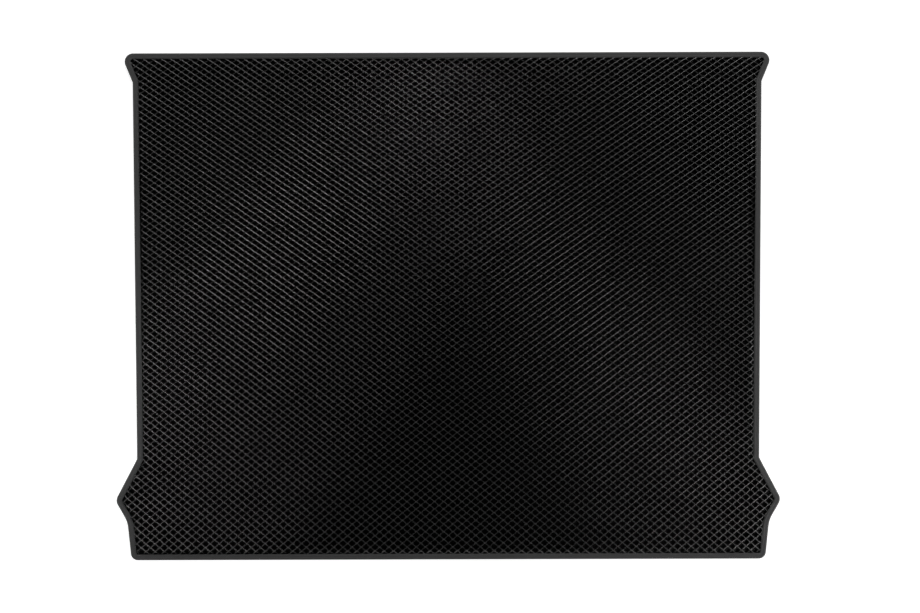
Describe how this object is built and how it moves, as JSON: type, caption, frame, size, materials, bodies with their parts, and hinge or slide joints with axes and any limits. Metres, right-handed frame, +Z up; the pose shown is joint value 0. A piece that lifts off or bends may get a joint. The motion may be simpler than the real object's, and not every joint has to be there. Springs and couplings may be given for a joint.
{
  "type": "car boot liner",
  "caption": "Flat foam boot liner moulded with open diamond cells, cut to the boot floor with small side ears and bound round its rim with a folded woven tape.",
  "frame": {"origin": "middle of the underside, where the liner lies on the boot floor", "axes": "+X across the car along the longest side, +Y towards the rear seats, +Z up through the open cells"},
  "size_m": [1.0598, 0.81, 0.01],
  "materials": {
    "foam": "matt moulded closed-cell foam",
    "tape": "woven edge tape"
  },
  "bodies": {
    "root": {"liner_sheet": "foam", "edge_binding": "tape"}
  },
  "joints": []
}
